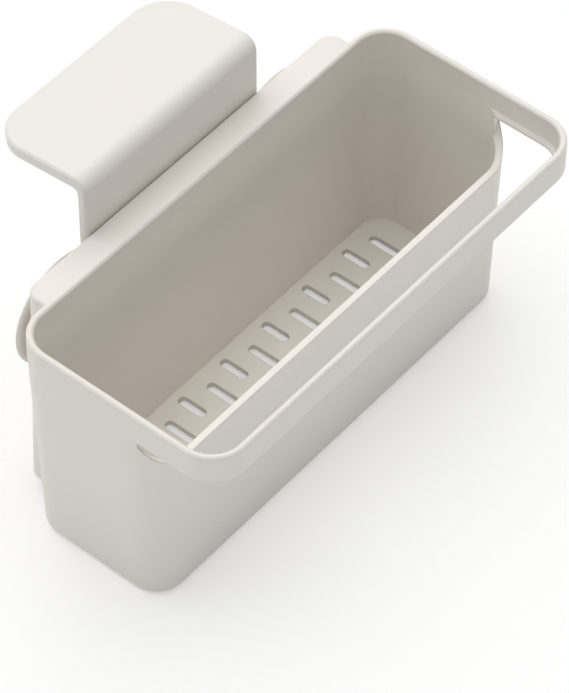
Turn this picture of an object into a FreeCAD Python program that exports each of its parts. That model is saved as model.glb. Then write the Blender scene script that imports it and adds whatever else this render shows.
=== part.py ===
import FreeCAD, Part
import math
import os
from types import SimpleNamespace

import Sketcher

# Driving dimensions in millimetres, and counts where the name says so
SIZES = {
    # Tub, outside measures at the rim
    "tub_length": 222.0,
    "tub_depth": 73.1,
    "tub_height": 111.9,
    "tub_corner": 16.0,
    "wall": 3.0,
    "base_inset": 2.8,
    "base_round": 3.5,
    # Floor with its drain slots
    "floor_level": 3.9,
    "floor_thickness": 2.4,
    "base_land": 6.0,
    "slot_width": 4.3,
    "slot_end_margin": 19.3,
    "long_slot_count": 8,
    "long_slot_margin": 13.3,
    "short_slot_length": 13.8,
    "short_slot_margin": 9.2,
    # Front opening and the rail that runs round it
    "rail_height": 13.9,
    "rail_reach": 30.2,
    "front_drop": 30.9,
    "cut_inset": 10.4,
    "cut_margin": 1.0,
    "cut_round": 16.5,
    "lip_reach": 1.5,
    "lip_height": 2.5,
    # Ledge and hollow skirt behind the tub
    "ledge_reach": 10.4,
    "ledge_thickness": 3.0,
    "skirt_end_margin": 19.7,
    "skirt_flare": 5.0,
    "skirt_clearance": 8.8,
    "skirt_wall": 2.6,
    "skirt_corner": 6.5,
    # Hook over the sink's edge
    "hook_aside": 3.2,
    "hook_width": 102.0,
    "hook_rise": 29.0,
    "hook_reach": 50.7,
    "hook_drop": 4.9,
    "plate_thickness": 4.6,
    "flange_thickness": 6.2,
    "bend_round": 6.5,
    "inner_bend_round": 1.8,
    "flange_corner": 17.0,
    "shoulder_drop": 10.0,
    # Tongue of the hook and its dovetail guide
    "tongue_width": 56.0,
    "tongue_bevel": 2.4,
    "tongue_length": 52.0,
    "tongue_round": 6.0,
    "guide_length": 50.0,
    "guide_width": 4.5,
    # Suction cups and their keyholes
    "cup_end_gap": 0.5,
    "cup_guide_gap": 2.4,
    "cup_top_drop": 9.6,
    "cup_depth": 6.9,
    "cup_lip": 0.9,
    "rim_width": 3.2,
    "rim_rise": 1.6,
    "web_thickness": 1.5,
    "hub_radius": 9.5,
    "neck_radius": 3.2,
    "head_radius": 6.2,
    "head_thickness": 2.0,
    "keyhole_drop": 10.0,
    # Room between pieces that slide, and how far cuts run past a face
    "clearance": 0.3,
    "overrun": 2.0,
}

# Edge bevels as shares of the thickness that they soften
EDGE_BEVEL_SHARE = 0.28
HOOK_BEVEL_SHARE = 0.2
# Two points closer than this count as one when edges are picked
SAME_PLACE = 0.001


class Size:
    """A length: its number, and the formula of sheet cells that drives it."""

    def __init__(self, number, formula):
        self.number = number
        self.formula = formula

    def combine(self, other, sign, number):
        text = other.formula if isinstance(other, Size) else str(other)
        return Size(number, f"({self.formula} {sign} {text})")

    def __add__(self, other):
        return self.combine(other, "+", self.number + number_of(other))

    def __sub__(self, other):
        return self.combine(other, "-", self.number - number_of(other))

    def __mul__(self, other):
        return self.combine(other, "*", self.number * number_of(other))

    def __truediv__(self, other):
        return self.combine(other, "/", self.number / number_of(other))

    def __neg__(self):
        return Size(-self.number, f"(-{self.formula})")


def number_of(value):
    """The number of a size, or a plain number as it is."""
    return value.number if isinstance(value, Size) else float(value)


def bind(item, path, size):
    """Drive a property of a document object by the sheet."""
    item.setExpression(path, size.formula)


def make_sheet(doc):
    """Write the driving dimensions into a sheet and return them as sizes."""
    sheet = doc.addObject("Spreadsheet::Sheet", "Sizes")
    for row, (alias, number) in enumerate(SIZES.items(), start=1):
        sheet.set(f"A{row}", alias)
        sheet.set(f"B{row}", str(number))
        sheet.setAlias(f"B{row}", alias)
    doc.recompute()
    sizes = {alias: Size(float(sheet.get(alias)), f"{sheet.Name}.{alias}") for alias in SIZES}
    return SimpleNamespace(**sizes)


def new_body(doc, label):
    """Start a piece, whose label names its file."""
    body = doc.addObject("PartDesign::Body", label)
    body.Label = label
    return body


def sketch_on(body, name, role, offset=0):
    """Attach an empty sketch to one of the body's own planes, moved along its normal."""
    sketch = body.newObject("Sketcher::SketchObject", name)
    plane = next(item for item in body.Origin.OriginFeatures if item.Role == role)
    sketch.AttachmentSupport = (plane, [""])
    sketch.MapMode = "FlatFace"
    if isinstance(offset, Size):
        bind(sketch, "AttachmentOffset.Base.z", offset)
    return sketch


def constrain(sketch, size, *parts):
    """Add a dimension that the sheet drives."""
    index = sketch.addConstraint(Sketcher.Constraint(*parts, size.number))
    bind(sketch, f"Constraints[{index}]", size)


def place_point(sketch, geometry, end, x, y):
    """Hold a point at two sheet-driven distances from the sketch's origin."""
    for size, kind, axis in ((x, "DistanceX", -2), (y, "DistanceY", -1)):
        if isinstance(size, Size):
            constrain(sketch, size, kind, -1, 1, geometry, end)
        else:
            sketch.addConstraint(Sketcher.Constraint("PointOnObject", geometry, end, axis))


def draw(sketch, corners, closed=True):
    """Draw straight runs through the corners, with a tangent arc where a corner has a radius.

    Each corner is (x, y) or (x, y, radius). The corners themselves are held by the sheet.
    """
    count = len(corners)
    spots = [FreeCAD.Vector(number_of(c[0]), number_of(c[1]), 0) for c in corners]
    radii = [c[2] if len(c) > 2 else None for c in corners]
    run_count = count if closed else count - 1
    ways = [(spots[(i + 1) % count] - spots[i]).normalize() for i in range(run_count)]
    cutbacks = []
    for i, radius in enumerate(radii):
        turn = ways[i - 1].getAngle(ways[i]) if radius is not None else 0
        cutbacks.append(number_of(radius) * math.tan(turn / 2) if radius is not None else 0)
    runs = []
    for i in range(run_count):
        start = spots[i] + ways[i] * cutbacks[i]
        finish = spots[(i + 1) % count] - ways[i] * cutbacks[(i + 1) % count]
        runs.append(sketch.addGeometry(Part.LineSegment(start, finish), False))
    for i, corner in enumerate(corners):
        before = runs[i - 1] if closed or i > 0 else None
        after = runs[i] if i < run_count else None
        if radii[i] is not None:
            round_corner(sketch, corner, (before, after), (ways[i - 1], ways[i]), cutbacks[i])
        elif before is None or after is None:
            loose = (after, 1) if before is None else (before, 2)
            place_point(sketch, *loose, corner[0], corner[1])
        else:
            sketch.addConstraint(Sketcher.Constraint("Coincident", before, 2, after, 1))
            place_point(sketch, after, 1, corner[0], corner[1])


def round_corner(sketch, corner, runs, ways, cutback):
    """Join two runs by an arc, and hold the point where the runs would have met."""
    before, after = runs
    spot = FreeCAD.Vector(number_of(corner[0]), number_of(corner[1]), 0)
    radius = corner[2]
    left_turn = ways[0].cross(ways[1]).z > 0
    inward = FreeCAD.Vector(-ways[0].y, ways[0].x, 0) * (1 if left_turn else -1)
    enter = spot - ways[0] * cutback
    leave = spot + ways[1] * cutback
    centre = enter + inward * radius.number
    first, last = (enter, leave) if left_turn else (leave, enter)
    angles = [math.atan2(p.y - centre.y, p.x - centre.x) for p in (first, last)]
    circle = Part.Circle(centre, FreeCAD.Vector(0, 0, 1), radius.number)
    arc = sketch.addGeometry(Part.ArcOfCircle(circle, *angles), False)
    enter_end, leave_end = (1, 2) if left_turn else (2, 1)
    point = sketch.addGeometry(Part.Point(spot), True)
    sketch.addConstraint(Sketcher.Constraint("PointOnObject", point, 1, before))
    sketch.addConstraint(Sketcher.Constraint("PointOnObject", point, 1, after))
    place_point(sketch, point, 1, corner[0], corner[1])
    sketch.addConstraint(Sketcher.Constraint("Tangent", before, 2, arc, enter_end))
    sketch.addConstraint(Sketcher.Constraint("Tangent", arc, leave_end, after, 1))
    constrain(sketch, radius, "Radius", arc)


def draw_slot(sketch, x, low, high, radius):
    """Draw an upright slot with round ends whose centres lie at the two heights."""
    flat = FreeCAD.Vector(number_of(radius), 0, 0)
    middles = [FreeCAD.Vector(number_of(x), number_of(y), 0) for y in (low, high)]
    right = sketch.addGeometry(Part.LineSegment(middles[0] + flat, middles[1] + flat), False)
    left = sketch.addGeometry(Part.LineSegment(middles[1] - flat, middles[0] - flat), False)
    circles = [Part.Circle(m, FreeCAD.Vector(0, 0, 1), radius.number) for m in middles]
    lower = sketch.addGeometry(Part.ArcOfCircle(circles[0], math.pi, 2 * math.pi), False)
    upper = sketch.addGeometry(Part.ArcOfCircle(circles[1], 0, math.pi), False)
    for pair in ((lower, 2, right, 1), (right, 2, upper, 1), (upper, 2, left, 1), (left, 2, lower, 1)):
        sketch.addConstraint(Sketcher.Constraint("Tangent", *pair))
    place_point(sketch, lower, 3, x, low)
    constrain(sketch, high - low, "DistanceY", lower, 3, upper, 3)
    constrain(sketch, radius, "Radius", lower)


def draw_keyhole(sketch, x, low, high, entry, neck):
    """Draw a keyhole: a round entry below and a narrower slot up to its round end."""
    rise = math.sqrt(entry.number**2 - neck.number**2)
    middles = [FreeCAD.Vector(number_of(x), number_of(y), 0) for y in (low, high)]
    aside = FreeCAD.Vector(neck.number, 0, 0)
    up = FreeCAD.Vector(0, rise, 0)
    right = sketch.addGeometry(Part.LineSegment(middles[0] + aside + up, middles[1] + aside), False)
    left = sketch.addGeometry(Part.LineSegment(middles[1] - aside, middles[0] - aside + up), False)
    wide = Part.Circle(middles[0], FreeCAD.Vector(0, 0, 1), entry.number)
    narrow = Part.Circle(middles[1], FreeCAD.Vector(0, 0, 1), neck.number)
    mouth = math.atan2(rise, neck.number)
    lower = sketch.addGeometry(Part.ArcOfCircle(wide, math.pi - mouth, 2 * math.pi + mouth), False)
    upper = sketch.addGeometry(Part.ArcOfCircle(narrow, 0, math.pi), False)
    for kind, pair in (
        ("Tangent", (right, 2, upper, 1)),
        ("Tangent", (upper, 2, left, 1)),
        ("Coincident", (left, 2, lower, 1)),
        ("Coincident", (lower, 2, right, 1)),
        ("Vertical", (left,)),
        ("Vertical", (right,)),
        ("Vertical", (lower, 3, upper, 3)),
    ):
        sketch.addConstraint(Sketcher.Constraint(kind, *pair))
    place_point(sketch, lower, 3, x, low)
    constrain(sketch, high - low, "DistanceY", lower, 3, upper, 3)
    constrain(sketch, entry, "Radius", lower)
    constrain(sketch, neck, "Radius", upper)


def extrude(body, kind, name, sketch, length, symmetric=False, reverse=False):
    """Pad or pocket a sketch by a sheet-driven length."""
    feature = body.newObject(f"PartDesign::{kind}", name)
    feature.Profile = sketch
    bind(feature, "Length", length)
    feature.Reversed = reverse
    if symmetric:
        feature.SideType = "Symmetric"
    body.Document.recompute()
    return feature


def loft(body, kind, name, lower, upper):
    """Rule a solid, or a hollow, between two sketches."""
    feature = body.newObject(f"PartDesign::{kind}Loft", name)
    feature.Profile = lower
    feature.Sections = [upper]
    feature.Ruled = True
    body.Document.recompute()
    return feature


def soften(body, kind, name, size, keep):
    """Round or bevel the edges of the body's last feature that the test keeps."""
    base = body.Tip
    names = [f"Edge{i}" for i, edge in enumerate(base.Shape.Edges, start=1) if keep(edge)]
    feature = body.newObject(f"PartDesign::{kind}", name)
    feature.Base = (base, names)
    bind(feature, "Radius" if kind == "Fillet" else "Size", size)
    body.Document.recompute()
    return feature


def pattern_along_x(body, name, feature, sketch, spread, count):
    """Repeat a feature along X over a length."""
    pattern = body.newObject("PartDesign::LinearPattern", name)
    pattern.Originals = [feature]
    pattern.Direction = (sketch, ["H_Axis"])
    bind(pattern, "Length", spread)
    bind(pattern, "Occurrences", count)
    body.Tip = pattern
    body.Document.recompute()
    return pattern


def mirror(body, name, feature, plane):
    """Repeat a feature on the other side of a plane."""
    mirrored = body.newObject("PartDesign::Mirrored", name)
    mirrored.Originals = [feature]
    mirrored.MirrorPlane = plane
    body.Tip = mirrored
    body.Document.recompute()
    return mirrored


def level_edge(height):
    """A test for edges that lie wholly at one height."""
    level = number_of(height)

    def test(edge):
        box = edge.BoundBox
        return max(abs(box.ZMin - level), abs(box.ZMax - level)) < SAME_PLACE

    return test


def rounded_plan(half_length, front, back, radius):
    """Corners of a plan outline with four equal roundings, symmetric about the middle plane."""
    return [
        (-half_length, front, radius),
        (half_length, front, radius),
        (half_length, back, radius),
        (-half_length, back, radius),
    ]


def derive(s):
    """Add the places that several pieces share."""
    s.half_length = s.tub_length / 2
    s.half_depth = s.tub_depth / 2
    s.band_bottom = s.tub_height - s.rail_height
    s.front_top = s.tub_height - s.front_drop
    s.cut_end = s.cut_inset - s.half_depth
    s.arm_root = s.tub_corner - s.half_depth
    s.edge_bevel = s.wall * EDGE_BEVEL_SHARE
    s.skirt_half = s.half_length - s.skirt_end_margin
    s.skirt_back = s.half_depth + s.ledge_reach
    s.plate_front = s.skirt_back + s.clearance
    s.plate_back = s.plate_front + s.plate_thickness
    s.shoulder_level = s.tub_height - s.shoulder_drop
    s.tongue_half = s.tongue_width / 2
    s.guide_outer = s.tongue_half + s.clearance + s.guide_width
    # Each cup fills the room between the guide and the skirt's end
    cup_outer = s.skirt_half - s.cup_end_gap
    cup_inner = s.guide_outer + s.hook_aside + s.cup_guide_gap
    s.cup_radius = (cup_outer - cup_inner) / 2
    s.cup_x = cup_outer - s.cup_radius
    s.cup_level = s.tub_height - s.cup_top_drop - s.cup_radius


def add_skirt(body, s):
    """The ledge with the hollow skirt that hangs from it, open towards the tub and below."""
    front, back = s.half_depth - s.base_inset, s.skirt_back
    level, half, corner = s.tub_height - s.ledge_thickness, s.skirt_half, s.skirt_corner
    low_half = half + s.skirt_flare
    plan = skirt_plan(body, "ledge_plan", level, half, (front, back), corner)
    extrude(body, "Pad", "ledge", plan, s.ledge_thickness)
    top_plan = skirt_plan(body, "skirt_top", level, half, (front, back), corner)
    low_plan = skirt_plan(body, "skirt_low", s.skirt_clearance, low_half, (front, back), corner)
    loft(body, "Additive", "skirt_block", top_plan, low_plan)
    lean = s.skirt_flare / (level - s.skirt_clearance)
    half, low_half = half - s.skirt_wall, low_half - s.skirt_wall + lean * s.overrun
    back, corner = back - s.skirt_wall, corner - s.skirt_wall
    top_plan = skirt_plan(body, "room_top", level, half, (front, back), corner)
    low_plan = skirt_plan(body, "room_low", s.skirt_clearance - s.overrun, low_half, (front, back), corner)
    loft(body, "Subtractive", "skirt_hollow", top_plan, low_plan)


def skirt_plan(body, name, level, half, depths, corner):
    """A plan of the skirt at one height, with both corners rounded at its back."""
    plan = sketch_on(body, name, "XY_Plane", level)
    front, back = depths
    draw(plan, [(-half, front), (half, front), (half, back, corner), (-half, back, corner)])
    return plan


def add_tub_shell(body, s):
    """The drafted tub up to the rim's band, with a rounded bottom edge, and its hollow."""
    lean = s.base_inset / s.band_bottom
    floor_inset = s.wall + s.base_inset - lean * s.floor_level
    top_plan = tub_plan(body, s, "tub_top", s.band_bottom, 0)
    loft(body, "Additive", "tub_block", top_plan, tub_plan(body, s, "tub_base", 0, s.base_inset))
    soften(body, "Fillet", "base_edge", s.base_round, level_edge(0))
    top_plan = tub_plan(body, s, "hollow_top", s.band_bottom, s.wall)
    floor_plan = tub_plan(body, s, "hollow_floor", s.floor_level, floor_inset)
    loft(body, "Subtractive", "tub_hollow", top_plan, floor_plan)


def tub_plan(body, s, name, level, inset):
    """The tub's outline at one height, set in from the rim's, with corners about the same centres."""
    plan = sketch_on(body, name, "XY_Plane", level)
    half, depth = s.half_length - inset, s.half_depth - inset
    draw(plan, rounded_plan(half, -depth, depth, s.tub_corner - inset))
    return plan


def cut_front(body, s):
    """Lower the front wall by a window whose lower corners sweep up round the tub's corners."""
    profile = sketch_on(body, "front_cut_profile", "XZ_Plane", -s.cut_end)
    half = s.half_length - s.cut_margin
    high = s.band_bottom + s.overrun
    draw(profile, [
        (-half, s.front_top, s.cut_round),
        (half, s.front_top, s.cut_round),
        (half, high),
        (-half, high),
    ])
    extrude(body, "Pocket", "front_cut", profile, s.cut_inset + s.overrun, reverse=True)


def add_rim_band(body, s):
    """The upright band of the rim along the back and both sides, up to the roots of the rail's arms."""
    band = sketch_on(body, "rim_band_plan", "XY_Plane", s.band_bottom)
    outer, inner = s.half_length, s.half_length - s.wall
    back, inner_back = s.half_depth, s.half_depth - s.wall
    corner, inner_corner = s.tub_corner, s.tub_corner - s.wall
    draw(band, [
        (-outer, s.arm_root),
        (-inner, s.arm_root),
        (-inner, inner_back, inner_corner),
        (inner, inner_back, inner_corner),
        (inner, s.arm_root),
        (outer, s.arm_root),
        (outer, back, corner),
        (-outer, back, corner),
    ])
    extrude(body, "Pad", "rim_band", band, s.rail_height)


def add_rail(body, s):
    """The rail: one section with a lip along its inner foot, swept round the front from side to side."""
    section = sketch_on(body, "rail_section", "XZ_Plane", -s.arm_root)
    outer = -s.half_length
    inner = s.wall - s.half_length
    tip = inner + s.lip_reach
    draw(section, [
        (outer, s.band_bottom),
        (tip, s.band_bottom),
        (tip, s.band_bottom + s.lip_height - s.lip_reach),
        (inner, s.band_bottom + s.lip_height),
        (inner, s.tub_height),
        (outer, s.tub_height),
    ])
    path = sketch_on(body, "rail_path", "XY_Plane", s.tub_height)
    side = s.half_length - s.wall / 2
    bar = -s.half_depth - s.rail_reach + s.wall / 2
    bend = s.tub_corner - s.wall / 2
    corners = [(-side, s.arm_root), (-side, bar, bend), (side, bar, bend), (side, s.arm_root)]
    draw(path, corners, closed=False)
    rail = body.newObject("PartDesign::AdditivePipe", "rail")
    rail.Profile = section
    rail.Spine = (path, [])
    rail.Mode = "Binormal"
    rail.Binormal = FreeCAD.Vector(0, 0, 1)
    body.Document.recompute()
    run_in = tub_plan(body, s, "lip_run_in_plan", s.band_bottom, s.wall)
    extrude(body, "Pocket", "lip_run_in", run_in, s.rail_height + s.overrun, reverse=True)
    soften(body, "Chamfer", "rim_edge", s.edge_bevel, level_edge(s.tub_height))


def cut_floor(body, s):
    """Raise the floor's underside off the standing edge, and cut two rows of drain slots."""
    recess = sketch_on(body, "base_recess_plan", "XY_Plane")
    inset = s.base_inset + s.base_land
    draw(recess, rounded_plan(s.half_length - inset, inset - s.half_depth, s.half_depth - inset,
                              s.tub_corner - inset))
    extrude(body, "Pocket", "base_recess", recess, s.floor_level - s.floor_thickness, reverse=True)
    depth = s.floor_level + s.overrun
    radius = s.slot_width / 2
    spread = s.tub_length - s.slot_end_margin * 2
    pitch = spread / (s.long_slot_count - 1)
    long_end = s.half_depth - s.long_slot_margin - radius
    short_high = s.half_depth - s.short_slot_margin - radius
    short_low = short_high - s.short_slot_length + s.slot_width
    long_x = -spread / 2
    short_x = long_x + pitch / 2
    short_spread = spread - pitch
    short_count = s.long_slot_count - 1
    rows = (
        ("long_slot", long_x, -long_end, long_end, spread, s.long_slot_count),
        ("back_slot", short_x, short_low, short_high, short_spread, short_count),
        ("front_slot", short_x, -short_high, -short_low, short_spread, short_count),
    )
    for name, x, low, high, length, count in rows:
        plan = sketch_on(body, f"{name}_plan", "XY_Plane")
        draw_slot(plan, x, low, high, radius)
        slot = extrude(body, "Pocket", name, plan, depth, reverse=True)
        pattern_along_x(body, f"{name}_row", slot, plan, length, count)


def cut_keyholes(body, s):
    """Keyholes in the skirt: a round entry for the cup's head and a slot up to its seat."""
    depth = s.skirt_wall + s.overrun
    plan = sketch_on(body, "keyhole_plan", "XZ_Plane", -s.skirt_back)
    entry = s.head_radius + s.clearance
    neck = s.neck_radius + s.clearance
    draw_keyhole(plan, s.cup_x, s.cup_level - s.keyhole_drop, s.cup_level, entry, neck)
    keyhole = extrude(body, "Pocket", "keyhole", plan, depth, reverse=True)
    mirror(body, "keyhole_pair", keyhole, (plan, ["V_Axis"]))


def add_guide(body, s):
    """Two dovetail strips behind the skirt that hold the hook's tongue."""
    slope = s.tongue_bevel / s.plate_thickness
    inner_front = s.tongue_half + s.clearance + slope * s.clearance
    inner_back = s.tongue_half + s.clearance - s.tongue_bevel
    root = s.skirt_back - s.skirt_wall / 2
    plan = sketch_on(body, "guide_plan", "XY_Plane", s.shoulder_level - s.guide_length)
    bind(plan, "AttachmentOffset.Base.x", -s.hook_aside)
    draw(plan, [
        (inner_front, root),
        (s.guide_outer, root),
        (s.guide_outer, s.plate_back),
        (inner_back, s.plate_back),
        (inner_front, s.skirt_back),
    ])
    strip = extrude(body, "Pad", "guide_strip", plan, s.guide_length)
    mirror(body, "guide_pair", strip, (plan, ["V_Axis"]))


def make_tub(doc, s):
    """The tub with everything that is moulded in one with it."""
    body = new_body(doc, "tub")
    add_skirt(body, s)
    add_guide(body, s)
    cut_keyholes(body, s)
    add_tub_shell(body, s)
    cut_front(body, s)
    add_rim_band(body, s)
    add_rail(body, s)
    cut_floor(body, s)
    return body


def make_hook(doc, s):
    """The wide hook: a drooping flange bent out of an upright plate, and a bevelled tongue below."""
    body = new_body(doc, "over_edge_hook")
    top = s.tub_height + s.hook_rise
    back = s.plate_front + s.hook_reach
    fall = s.hook_drop / s.hook_reach
    inner_top = top - fall * s.plate_thickness - s.flange_thickness
    reach_square = s.hook_reach * s.hook_reach
    end_height = s.flange_thickness * reach_square / (reach_square + s.hook_drop * s.hook_drop)
    end_foot = back - fall * end_height
    profile = sketch_on(body, "hook_profile", "YZ_Plane")
    draw(profile, [
        (s.plate_front, s.shoulder_level),
        (s.plate_back, s.shoulder_level),
        (s.plate_back, inner_top, s.inner_bend_round),
        (end_foot, top - s.hook_drop - end_height),
        (back, top - s.hook_drop),
        (s.plate_front, top, s.bend_round),
    ])
    extrude(body, "Pad", "hook_bend", profile, s.hook_width, symmetric=True)
    half = s.hook_width / 2

    def flange_corner(edge):
        box = edge.BoundBox
        outermost = abs(abs(box.Center.x) - half.number) < SAME_PLACE
        return outermost and box.YMin > end_foot.number - SAME_PLACE

    soften(body, "Fillet", "flange_corners", s.flange_corner, flange_corner)

    def outer_edge(edge):
        box = edge.BoundBox
        upright_side = abs(abs(box.Center.x) - half.number) < SAME_PLACE
        return upright_side and box.YLength < SAME_PLACE and box.ZLength > s.plate_thickness.number

    soften(body, "Chamfer", "hook_edge", s.plate_thickness * HOOK_BEVEL_SHARE, outer_edge)
    tongue = sketch_on(body, "tongue_plan", "XY_Plane", s.shoulder_level - s.tongue_length)
    narrow = s.tongue_half - s.tongue_bevel
    draw(tongue, [
        (-s.tongue_half, s.plate_front),
        (s.tongue_half, s.plate_front),
        (narrow, s.plate_back),
        (-narrow, s.plate_back),
    ])
    extrude(body, "Pad", "tongue", tongue, s.tongue_length)

    def tongue_corner(edge):
        box = edge.BoundBox
        slanted = abs(box.XLength - s.tongue_bevel.number) < SAME_PLACE
        return slanted and level_edge(s.shoulder_level - s.tongue_length)(edge)

    soften(body, "Fillet", "tongue_corners", s.tongue_round, tongue_corner)
    bind(body, "Placement.Base.x", -s.hook_aside)
    doc.recompute()
    return body


def make_cup(doc, s, label, side):
    """A suction cup turned about Y: mushroom head, neck, hub and a thin hollow dish."""
    body = new_body(doc, label)
    seat = -s.skirt_wall - s.clearance
    head = seat - s.head_thickness
    profile = sketch_on(body, f"{label}_profile", "XY_Plane")
    web_front = s.cup_depth - s.cup_lip - s.rim_rise
    draw(profile, [
        (0, head),
        (s.head_radius, head),
        (s.head_radius, seat),
        (s.neck_radius, seat),
        (s.neck_radius, s.clearance),
        (s.hub_radius, s.clearance),
        (s.hub_radius, web_front),
        (s.cup_radius - s.rim_width, web_front),
        (s.cup_radius, s.cup_depth - s.cup_lip),
        (s.cup_radius, s.cup_depth),
        (s.cup_radius - s.rim_width, web_front + s.web_thickness),
        (0, web_front + s.web_thickness),
    ])
    turned = body.newObject("PartDesign::Revolution", f"{label}_turned")
    turned.Profile = profile
    turned.ReferenceAxis = (profile, ["V_Axis"])
    turned.Angle = 360
    bind(body, "Placement.Base.x", s.cup_x * side)
    bind(body, "Placement.Base.y", s.skirt_back)
    bind(body, "Placement.Base.z", s.cup_level)
    doc.recompute()
    return body


def write_parts(doc, bodies):
    """Check every object, then write each piece to its file."""
    doc.recompute()
    for item in doc.Objects:
        if "Invalid" in item.State or "Error" in item.State:
            raise RuntimeError(f"{item.Label} failed: {item.State}")
    for body in bodies:
        shape = body.Shape
        if shape.isNull() or not shape.isValid() or len(shape.Solids) != 1:
            raise RuntimeError(f"{body.Label} is not one valid solid")
    os.makedirs("parts", exist_ok=True)
    for body in bodies:
        body.Shape.exportStep(os.path.join("parts", f"{body.Label}.step"))
        print(body.Label, round(body.Shape.Volume), body.Shape.BoundBox)


def main():
    doc = FreeCAD.newDocument("sink_caddy")
    s = make_sheet(doc)
    derive(s)
    bodies = [
        make_tub(doc, s),
        make_hook(doc, s),
        make_cup(doc, s, "suction_cup_left", -1),
        make_cup(doc, s, "suction_cup_right", 1),
    ]
    write_parts(doc, bodies)


main()
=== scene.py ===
import logging
import math
from dataclasses import dataclass
from enum import Enum
from typing import Any, Mapping, Union

import bmesh
import bpy
from mathutils import Matrix, Vector


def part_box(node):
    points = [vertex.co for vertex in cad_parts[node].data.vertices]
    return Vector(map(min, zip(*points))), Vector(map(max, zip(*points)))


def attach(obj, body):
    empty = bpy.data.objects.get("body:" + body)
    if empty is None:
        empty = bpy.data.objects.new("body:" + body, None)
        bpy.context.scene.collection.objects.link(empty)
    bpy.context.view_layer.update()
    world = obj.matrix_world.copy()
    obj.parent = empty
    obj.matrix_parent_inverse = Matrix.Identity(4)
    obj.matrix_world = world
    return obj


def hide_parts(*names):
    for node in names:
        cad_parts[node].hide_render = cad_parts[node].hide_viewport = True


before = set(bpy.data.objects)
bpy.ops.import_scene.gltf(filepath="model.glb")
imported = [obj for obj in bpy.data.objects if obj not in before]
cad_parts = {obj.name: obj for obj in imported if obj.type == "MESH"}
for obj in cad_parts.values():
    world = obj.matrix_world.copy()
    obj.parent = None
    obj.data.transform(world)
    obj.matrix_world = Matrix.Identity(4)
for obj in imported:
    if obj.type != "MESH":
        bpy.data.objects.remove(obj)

log = logging.getLogger("sink_caddy")

Colour = tuple[float, float, float]
Feed = Union["Value", float, Colour]

MILLIMETRE = 0.001
WHITE: Colour = (1.0, 1.0, 1.0)
WHITE_LEVEL = 1.0
OPAQUE = 1.0
NOISE_MIDDLE = 0.5
# Inputs and output of a Mix node that mixes colours
MIX_SHARE, MIX_FIRST, MIX_SECOND, MIX_RESULT = 0, 6, 7, 2
# The two directions across a cup's axis
ACROSS_AXIS = (1.0, 0.0, 1.0)
# Rays that show the background, straight or by gloss or glass
SEEING_RAYS = ("Is Camera Ray", "Is Glossy Ray", "Is Transmission Ray")


class Side(Enum):
    """The two suction cups, by the side of the skirt that they sit on."""

    LEFT = "left"
    RIGHT = "right"

    @property
    def node(self) -> str:
        """Name of the cup's CAD node."""
        return f"suction_cup_{self.value}"

    @property
    def body(self) -> str:
        """Name of the body that carries the cup."""
        return f"cup_{self.value}"


class Value:
    """An output socket that takes part in sums like a number."""

    def __init__(self, graph: "Graph", socket: bpy.types.NodeSocket | None) -> None:
        """Keep the socket and the graph that new nodes go into."""
        self.graph = graph
        self.socket = socket

    def maths(self, operation: str, first: Feed, second: Feed) -> "Value":
        """Add one Math node.

        Args:
            operation: Blender's name of the operation.
            first: Left-hand side.
            second: Right-hand side.

        Returns:
            The node's result.
        """
        return self.graph.node("ShaderNodeMath", {"operation": operation}, {0: first, 1: second})

    def __add__(self, other: Feed) -> "Value":
        """This value plus another."""
        return self.maths("ADD", self, other)

    def __radd__(self, other: Feed) -> "Value":
        """A number plus this value."""
        return self.maths("ADD", other, self)

    def __sub__(self, other: Feed) -> "Value":
        """This value less another."""
        return self.maths("SUBTRACT", self, other)

    def __rsub__(self, other: Feed) -> "Value":
        """A number less this value."""
        return self.maths("SUBTRACT", other, self)

    def __mul__(self, other: Feed) -> "Value":
        """This value times another."""
        return self.maths("MULTIPLY", self, other)

    def __rmul__(self, other: Feed) -> "Value":
        """A number times this value."""
        return self.maths("MULTIPLY", other, self)


class Graph:
    """A node tree that is filled node by node."""

    def __init__(self, tree: bpy.types.NodeTree) -> None:
        """Empty the tree."""
        self.tree = tree
        tree.nodes.clear()

    def node(
        self,
        kind: str,
        settings: Mapping[str, Any] | None = None,
        sockets: Mapping[int | str, Feed] | None = None,
        output: int | str = 0,
    ) -> Value:
        """Add a node.

        Args:
            kind: Blender's type name.
            settings: Properties of the node, set before its sockets.
            sockets: Values or links of its inputs.
            output: The output to return.

        Returns:
            The chosen output, with no socket for a node that has none.
        """
        made = self.tree.nodes.new(kind)
        for name, setting in (settings or {}).items():
            setattr(made, name, setting)
        for name, feed in (sockets or {}).items():
            self.feed(made.inputs[name], feed)
        return Value(self, made.outputs[output]) if made.outputs else Value(self, None)

    def feed(self, socket: bpy.types.NodeSocket, feed: Feed) -> None:
        """Link an input to a value, or set it to a number or colour.

        Args:
            socket: The input.
            feed: What it gets.
        """
        if isinstance(feed, Value):
            self.tree.links.new(feed.socket, socket)
        elif isinstance(feed, tuple) and socket.type == "RGBA":
            socket.default_value = (*feed, OPAQUE)
        else:
            socket.default_value = feed

    def blend(self, share: Feed, first: Feed, second: Feed) -> Value:
        """Mix two colours.

        Args:
            share: How much of the second colour shows.
            first: Colour at share 0.
            second: Colour at share 1.

        Returns:
            The mixed colour.
        """
        feeds = {MIX_SHARE: share, MIX_FIRST: first, MIX_SECOND: second}
        return self.node("ShaderNodeMix", {"data_type": "RGBA"}, feeds, MIX_RESULT)

    def noise(self, place: Value, size: float, detail: float) -> Value:
        """Cloudy noise from 0 to 1.

        Args:
            place: Coordinates in metres.
            size: Size of one cloud in metres.
            detail: Number of finer layers.

        Returns:
            The noise.
        """
        return self.node("ShaderNodeTexNoise", {}, {"Vector": place, "Scale": 1 / size, "Detail": detail})

    def seen(self) -> Value:
        """1 for a ray that shows the background, and 0 for light on its way to the caddy."""
        camera, glossy, clear = (self.node("ShaderNodeLightPath", output=name) for name in SEEING_RAYS)
        return camera + glossy + clear


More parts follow.
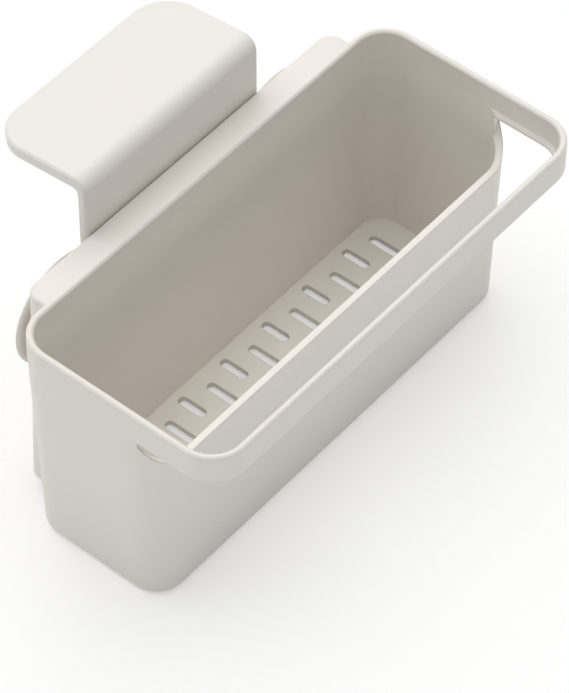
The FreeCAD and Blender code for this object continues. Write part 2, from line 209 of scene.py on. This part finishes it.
def new_material(name: str) -> tuple[bpy.types.Material, Graph]:
    """Make an empty node material.

    Args:
        name: Name of the finish.

    Returns:
        The material and its graph.
    """
    material = bpy.data.materials.new(name)
    material.use_nodes = True
    return material, Graph(material.node_tree)


@dataclass(frozen=True)
class MattePlastic:
    """Moulded plastic with a fine matt grain and a faint cloudiness from its flow. Sizes are in metres."""

    name: str
    colour: Colour
    flow_colour: Colour
    roughness: float = 0.48
    roughness_spread: float = 0.16
    refraction: float = 1.46
    shine: float = 0.4
    flow_share: float = 0.7
    flow_size: float = 45 * MILLIMETRE
    flow_detail: float = 2.0
    grain_size: float = 0.55 * MILLIMETRE
    grain_detail: float = 3.0
    grain_depth: float = 0.035 * MILLIMETRE
    grain_strength: float = 0.35
    edge_softness: float = 0.9 * MILLIMETRE
    edge_samples: int = 6

    def material(self) -> bpy.types.Material:
        """Make the finish.

        Returns:
            The finish as a material.
        """
        material, graph = new_material(self.name)
        place = graph.node("ShaderNodeTexCoord", output="Object")
        flow = graph.noise(place, self.flow_size, self.flow_detail)
        grain = graph.noise(place, self.grain_size, self.grain_detail)
        cloud = flow * self.flow_share + grain * (1 - self.flow_share)
        tint = graph.blend(cloud, self.colour, self.flow_colour)
        soft_edge = graph.node(
            "ShaderNodeBevel",
            {"samples": self.edge_samples},
            {"Radius": self.edge_softness},
        )
        relief = graph.node(
            "ShaderNodeBump",
            {},
            {
                "Strength": self.grain_strength,
                "Distance": self.grain_depth,
                "Height": grain,
                "Normal": soft_edge,
            },
        )
        shader = graph.node(
            "ShaderNodeBsdfPrincipled",
            {},
            {
                "Base Color": tint,
                "Roughness": self.roughness + (grain - NOISE_MIDDLE) * self.roughness_spread,
                "IOR": self.refraction,
                "Specular IOR Level": self.shine,
                "Normal": relief,
            },
        )
        graph.node("ShaderNodeOutputMaterial", {}, {"Surface": shader})
        return material


@dataclass(frozen=True)
class SoftRubber:
    """Milky soft rubber whose thin lip lets more light through; that light is painted on as a paler colour
    towards the lip. Sizes are in metres.
    """

    name: str
    colour: Colour
    # Paler colour painted at the lip, standing in for light through the thin rubber
    painted_glow_colour: Colour
    lip_start: float
    lip_end: float
    roughness: float = 0.38
    roughness_spread: float = 0.12
    refraction: float = 1.41
    shine: float = 0.45
    glow_share: float = 0.8
    clearness: float = 0.2
    softness: float = 0.35
    soft_colour: Colour = (1.0, 0.8, 0.7)
    soft_depth: float = 3 * MILLIMETRE
    cloud_size: float = 6 * MILLIMETRE
    cloud_detail: float = 2.0

    def material(self) -> bpy.types.Material:
        """Make the finish.

        Returns:
            The finish as a material.
        """
        material, graph = new_material(self.name)
        place = graph.node("ShaderNodeTexCoord", output="Object")
        flat = graph.node("ShaderNodeVectorMath", {"operation": "MULTIPLY"}, {0: place, 1: ACROSS_AXIS})
        radius = graph.node("ShaderNodeVectorMath", {"operation": "LENGTH"}, {0: flat}, "Value")
        # Painted light: the colour turns paler towards the lip's radius, standing in for light shining
        # through the thin rubber; the cloud noise mixed in is random tone
        lip = graph.node(
            "ShaderNodeMapRange",
            {"interpolation_type": "SMOOTHSTEP"},
            {"Value": radius, "From Min": self.lip_start, "From Max": self.lip_end},
        )
        cloud = graph.noise(place, self.cloud_size, self.cloud_detail)
        glow_and_cloud = lip * self.glow_share + cloud * (1 - self.glow_share)
        shader = graph.node(
            "ShaderNodeBsdfPrincipled",
            {},
            {
                "Base Color": graph.blend(glow_and_cloud, self.colour, self.painted_glow_colour),
                "Roughness": self.roughness + (cloud - NOISE_MIDDLE) * self.roughness_spread,
                "IOR": self.refraction,
                "Specular IOR Level": self.shine,
                "Transmission Weight": self.clearness,
                "Subsurface Weight": self.softness,
                "Subsurface Radius": self.soft_colour,
                "Subsurface Scale": self.soft_depth,
            },
        )
        graph.node("ShaderNodeOutputMaterial", {}, {"Surface": shader})
        return material


@dataclass
class PlasticPiece:
    """A rigid moulding whose CAD solid is shown with its own finish."""

    node: str
    finish: MattePlastic

    def dress(self) -> bpy.types.Object:
        """Give the CAD node its finish.

        Returns:
            The node's object.
        """
        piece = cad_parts[self.node]
        piece.data.materials.clear()
        piece.data.materials.append(self.finish.material())
        return piece


@dataclass
class SuctionCup:
    """A soft cup turned about Y: mushroom head, neck, hub, web and a thin lip. Sizes are in metres."""

    side: Side
    finish: SoftRubber
    head_radius: float = 6.2 * MILLIMETRE
    head_thickness: float = 2.0 * MILLIMETRE
    neck_radius: float = 3.2 * MILLIMETRE
    neck_length: float = 3.2 * MILLIMETRE
    hub_radius: float = 9.5 * MILLIMETRE
    hub_flare: float = 0.9 * MILLIMETRE
    hub_foot_share: float = 1.4
    web_thickness: float = 1.5 * MILLIMETRE
    dish_depth: float = 2.6 * MILLIMETRE
    half_way_share: float = 1 / 3
    lip_thickness: float = 0.9 * MILLIMETRE
    lip_width: float = 1.35 * MILLIMETRE
    lip_fall: float = 0.675 * MILLIMETRE
    lip_round: float = 0.225 * MILLIMETRE
    edge_radius: float = 0.45 * MILLIMETRE
    segments: int = 48
    smoothing: int = 2

    def profile(self, radius: float, depth: float) -> list[tuple[float, float]]:
        """The cup's section.

        Args:
            radius: Radius of the lip.
            depth: Length along the axis, from the head's face to the lip.

        Returns:
            Pairs of radius and distance from the head's face, round the section from the axis to the axis.
        """
        edge = self.edge_radius
        seat = self.head_thickness
        hub = seat + self.neck_length
        web_back = depth - self.dish_depth
        web_front = web_back - self.web_thickness
        lip_front = depth - self.lip_thickness
        half_way = (self.hub_radius + radius) / 2
        front_half_way = web_front + (lip_front - web_front) * self.half_way_share
        back_half_way = web_back + self.dish_depth * self.half_way_share
        return [
            (self.head_radius - edge, 0.0),
            (self.head_radius, edge),
            (self.head_radius, seat - edge),
            (self.head_radius - edge, seat),
            (self.neck_radius + edge, seat),
            (self.neck_radius, seat),
            (self.neck_radius, seat + edge),
            (self.neck_radius, hub - edge),
            (self.neck_radius, hub),
            (self.neck_radius + edge, hub),
            (self.hub_radius - edge, hub),
            (self.hub_radius, hub + edge),
            (self.hub_radius + self.hub_flare, (hub + web_front) / 2),
            (self.hub_radius * self.hub_foot_share, web_front),
            (half_way, front_half_way),
            (radius - self.lip_width, lip_front - self.lip_fall),
            (radius - self.lip_round, lip_front),
            (radius, (lip_front + depth) / 2),
            (radius - self.lip_round, depth),
            (radius - self.lip_width, depth - self.lip_fall),
            (half_way, back_half_way),
            (self.hub_radius, web_back),
        ]

    def mesh(self, radius: float, depth: float) -> bpy.types.Mesh:
        """Turn the section about Y.

        Args:
            radius: Radius of the lip.
            depth: Length along the axis.

        Returns:
            A closed mesh whose axis is Y, with the head's face at the origin.
        """
        shape = bmesh.new()
        rings = []
        for ring_radius, distance in self.profile(radius, depth):
            ring = []
            for step in range(self.segments):
                angle = 2 * math.pi * step / self.segments
                spot = (ring_radius * math.cos(angle), distance, ring_radius * math.sin(angle))
                ring.append(shape.verts.new(spot))
            rings.append(ring)
        for ring, following in zip(rings, rings[1:]):
            for step in range(self.segments):
                after = (step + 1) % self.segments
                shape.faces.new((ring[step], ring[after], following[after], following[step]))
        for ring in (rings[0], rings[-1]):
            border = [shape.edges.get(pair) for pair in zip(ring, ring[1:] + ring[:1])]
            inner = bmesh.ops.extrude_edge_only(shape, edges=border)
            moved = [item for item in inner["geom"] if isinstance(item, bmesh.types.BMVert)]
            middle = Vector((0.0, ring[0].co.y, 0.0))
            bmesh.ops.pointmerge(shape, verts=moved, merge_co=middle)
        bmesh.ops.recalc_face_normals(shape, faces=shape.faces)
        for face in shape.faces:
            face.smooth = True
        mesh = bpy.data.meshes.new(f"soft_{self.side.node}")
        shape.to_mesh(mesh)
        shape.free()
        return mesh

    def build(self) -> bpy.types.Object:
        """Make the soft cup in the place of its CAD solid.

        Returns:
            The cup's object.
        """
        low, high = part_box(self.side.node)
        radius = (high.x - low.x) / 2
        mesh = self.mesh(radius, high.y - low.y)
        mesh.materials.append(self.finish.material())
        piece = bpy.data.objects.new(f"soft_{self.side.node}", mesh)
        bpy.context.scene.collection.objects.link(piece)
        piece.location = ((low.x + high.x) / 2, low.y, (low.z + high.z) / 2)
        smooth = piece.modifiers.new("smooth", "SUBSURF")
        smooth.levels = self.smoothing
        smooth.render_levels = self.smoothing
        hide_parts(self.side.node)
        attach(piece, self.side.body)
        return piece


@dataclass
class Studio:
    """Pale floor, soft daylight from above and an even sky, at a plain level of light."""

    floor_size: float = 40.0
    floor_colour: Colour = WHITE
    floor_roughness: float = 0.9
    floor_shine: float = 0.1
    floor_white_share: float = 0.4
    sky_level: float = 0.31
    sun_level: float = 0.73
    sun_from: tuple[float, float, float] = (0.1, 0.32, 1.0)
    sun_spread: float = math.radians(76.0)

    def build(self) -> None:
        """Make the floor, the lamp and the sky."""
        self.add_floor()
        self.add_sun()
        self.fill_sky()

    def add_floor(self) -> None:
        """Lay a plain floor that the camera sees paler than it is, with the caddy's shadow on it."""
        half = self.floor_size / 2
        mesh = bpy.data.meshes.new("floor")
        spots = [(-half, -half, 0), (half, -half, 0), (half, half, 0), (-half, half, 0)]
        mesh.from_pydata(spots, [], [(0, 1, 2, 3)])
        material, graph = new_material("pale_floor")
        shader = graph.node(
            "ShaderNodeBsdfPrincipled",
            {},
            {
                "Base Color": self.floor_colour,
                "Roughness": self.floor_roughness,
                "Specular IOR Level": self.floor_shine,
            },
        )
        white = graph.node("ShaderNodeEmission", {}, {"Color": WHITE, "Strength": WHITE_LEVEL})
        shown = graph.seen() * self.floor_white_share
        surface = graph.node("ShaderNodeMixShader", {}, {0: shown, 1: shader, 2: white})
        graph.node("ShaderNodeOutputMaterial", {}, {"Surface": surface})
        mesh.materials.append(material)
        floor = bpy.data.objects.new("floor", mesh)
        bpy.context.scene.collection.objects.link(floor)

    def add_sun(self) -> None:
        """Hang one broad lamp that lights everything evenly."""
        lamp = bpy.data.lights.new("daylight", "SUN")
        lamp.energy = self.sun_level * math.pi
        lamp.angle = self.sun_spread
        sun = bpy.data.objects.new("daylight", lamp)
        sun.rotation_euler = Vector(self.sun_from).to_track_quat("Z", "Y").to_euler()
        bpy.context.scene.collection.objects.link(sun)

    def fill_sky(self) -> None:
        """Light from all round, which the camera and reflections see as white."""
        world = bpy.data.worlds.new("sky")
        world.use_nodes = True
        bpy.context.scene.world = world
        graph = Graph(world.node_tree)
        level = self.sky_level + graph.seen() * (WHITE_LEVEL - self.sky_level)
        sky = graph.node("ShaderNodeBackground", {}, {"Color": WHITE, "Strength": level})
        graph.node("ShaderNodeOutputWorld", {}, {"Surface": sky})


@dataclass
class PhotoCamera:
    """A long lens that sees the caddy as the photograph does. Lengths are in metres, the sensor in mm."""

    azimuth: float = math.radians(-50.226)
    elevation: float = math.radians(49.52)
    roll: float = math.radians(0.075)
    distance: float = 1.566536
    aim: tuple[float, float, float] = (-0.01927, -0.02233, 0.06732)
    focal_pixels: float = 4021.237
    image_width: float = 569.0
    sensor: float = 36.0

    def build(self) -> bpy.types.Object:
        """Make the camera and use it.

        Returns:
            The camera.
        """
        lens = bpy.data.cameras.new("camera")
        lens.sensor_fit = "HORIZONTAL"
        lens.sensor_width = self.sensor
        lens.lens = self.sensor * self.focal_pixels / self.image_width
        turn = (
            Matrix.Rotation(self.azimuth, 4, "Z")
            @ Matrix.Rotation(math.pi / 2 - self.elevation, 4, "X")
            @ Matrix.Rotation(self.roll, 4, "Z")
        )
        back = turn.to_3x3() @ Vector((0, 0, self.distance))
        camera = bpy.data.objects.new("camera", lens)
        camera.matrix_world = Matrix.Translation(Vector(self.aim) + back) @ turn
        bpy.context.scene.collection.objects.link(camera)
        bpy.context.scene.camera = camera
        return camera


TUB_PLASTIC = MattePlastic("tub_plastic", (0.84, 0.808, 0.752), (0.82, 0.78, 0.72))
HOOK_PLASTIC = MattePlastic("hook_plastic", (0.84, 0.812, 0.762), (0.82, 0.785, 0.73))
CUP_RUBBER = SoftRubber(
    name="cup_rubber",
    colour=(0.69, 0.64, 0.6),
    painted_glow_colour=(0.87, 0.84, 0.8),
    lip_start=22 * MILLIMETRE,
    lip_end=26 * MILLIMETRE,
)


def main() -> None:
    """Build the caddy's looks, the studio and the camera."""
    logging.basicConfig(level=logging.INFO)
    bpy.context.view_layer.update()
    for part in (PlasticPiece("tub", TUB_PLASTIC), PlasticPiece("over_edge_hook", HOOK_PLASTIC)):
        log.info("dressed %s", part.dress().name)
    for side in Side:
        log.info("built %s", SuctionCup(side, CUP_RUBBER).build().name)
    Studio().build()
    PhotoCamera().build()
    bpy.context.scene.view_settings.view_transform = "Standard"


if __name__ == "__main__":
    main()
